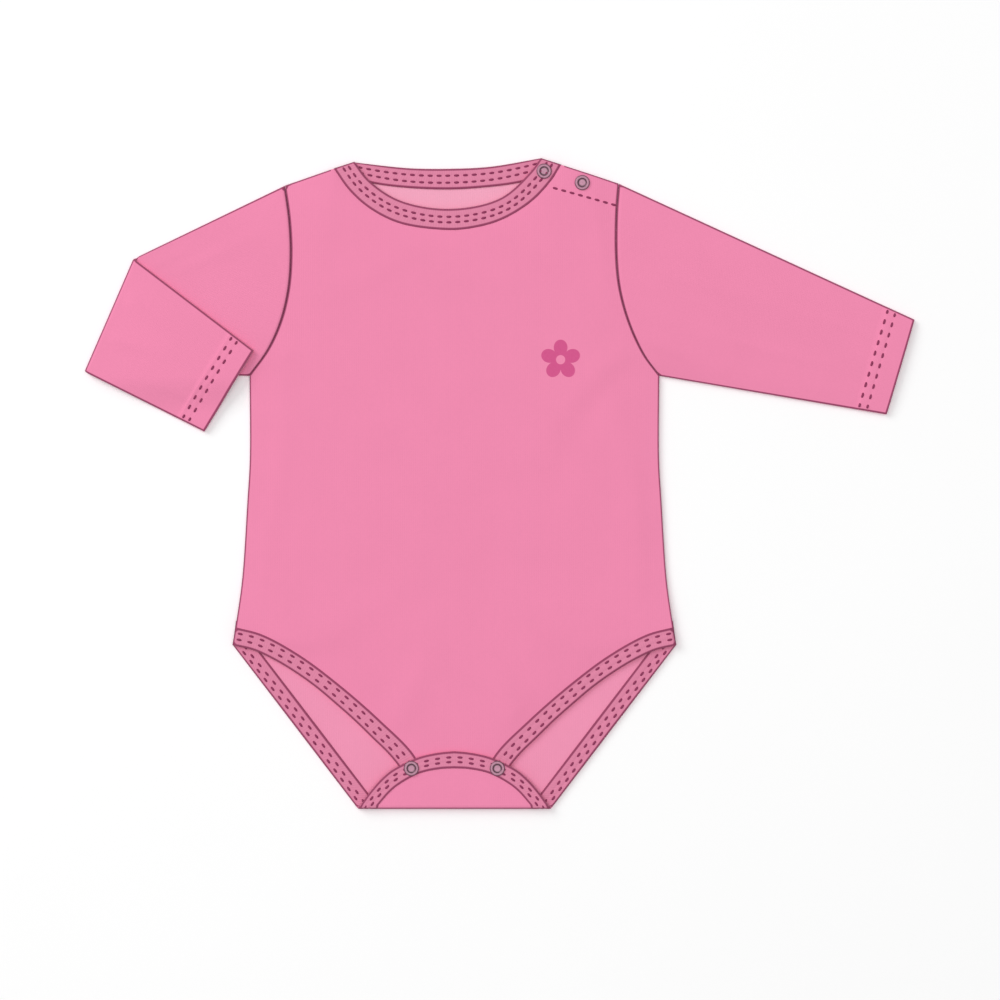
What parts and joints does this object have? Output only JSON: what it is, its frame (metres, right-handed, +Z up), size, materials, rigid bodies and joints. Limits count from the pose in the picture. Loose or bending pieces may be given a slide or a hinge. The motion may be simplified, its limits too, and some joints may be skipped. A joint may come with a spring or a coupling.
{
  "type": "long-sleeved baby bodysuit",
  "caption": "Long-sleeved baby bodysuit laid flat, one sleeve folded forward, bound neck and leg openings, shoulder and crotch ring snaps",
  "frame": {"origin": "middle of the garment's outline, on the surface that it lies on", "axes": "+X across the garment towards the straight sleeve, +Y towards the neck, +Z up out of the front"},
  "size_m": [0.4969, 0.39, 0.0079],
  "materials": {
    "jersey": "soft matt cotton jersey",
    "rib": "soft matt cotton rib",
    "snap": "satin"
  },
  "bodies": {
    "root": {"back_panel": "jersey", "front_panel": "jersey", "right_sleeve": "jersey", "left_sleeve": "jersey", "back_leg_binding": "rib", "front_leg_binding_right": "rib", "front_leg_binding_left": "rib", "neck_binding_front": "rib", "neck_binding_back": "rib", "shoulder_underlap": "rib", "crotch_snap_left": "snap", "crotch_snap_right": "snap", "shoulder_snap_neck": "snap", "shoulder_snap_sleeve": "snap"}
  },
  "joints": []
}
